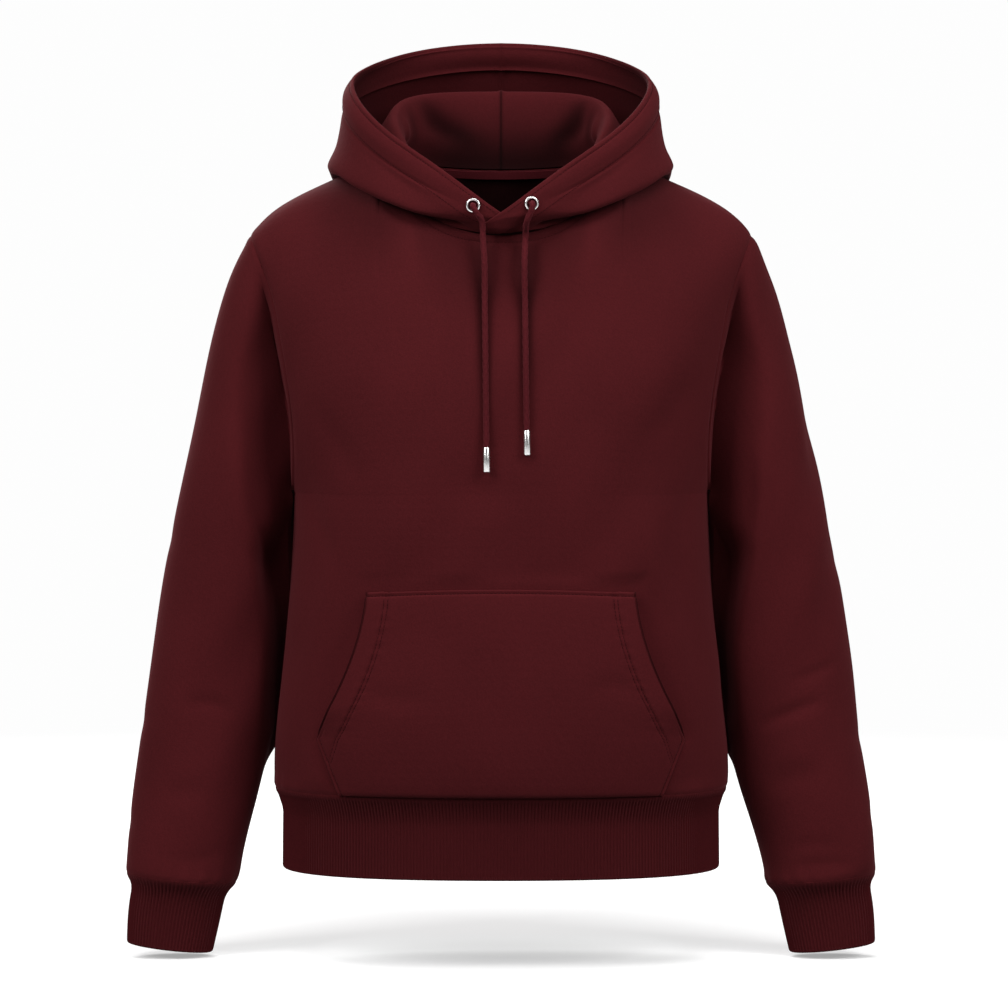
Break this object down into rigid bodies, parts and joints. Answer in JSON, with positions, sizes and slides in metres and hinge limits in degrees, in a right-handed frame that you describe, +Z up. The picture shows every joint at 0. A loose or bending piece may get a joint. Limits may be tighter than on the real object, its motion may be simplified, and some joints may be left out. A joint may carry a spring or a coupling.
{
  "type": "pullover hoodie",
  "caption": "Long-sleeved pullover hooded sweatshirt, filled out as if worn, with laid-back hood, drawcords, front pouch pocket and ribbed cuffs and hem.",
  "frame": {"origin": "nape: at the height of the back neck seam, on the middle plane, over the middle of the body's depth, where a neck or a hanger holds the garment", "axes": "+Z up towards the hood, -Y the garment's front, +X the wearer's left"},
  "size_m": [0.692, 0.2918, 0.8443],
  "materials": {
    "fleece": "matte brushed knit",
    "rib": "matte ribbed knit",
    "tape": "matte twill tape",
    "cord": "matte round braid",
    "metal": "polished nickel"
  },
  "bodies": {
    "root": {"aglet_left": "metal", "aglet_right": "metal", "back_body": "fleece", "cuff_left": "rib", "cuff_right": "rib", "drawcord_left": "cord", "drawcord_right": "cord", "eyelet_left": "metal", "eyelet_right": "metal", "front_body": "fleece", "hem_rib": "rib", "hood_left": "fleece", "hood_right": "fleece", "kangaroo_pocket": "fleece", "neck_tape": "tape", "sleeve_left": "fleece", "sleeve_right": "fleece"}
  },
  "joints": []
}
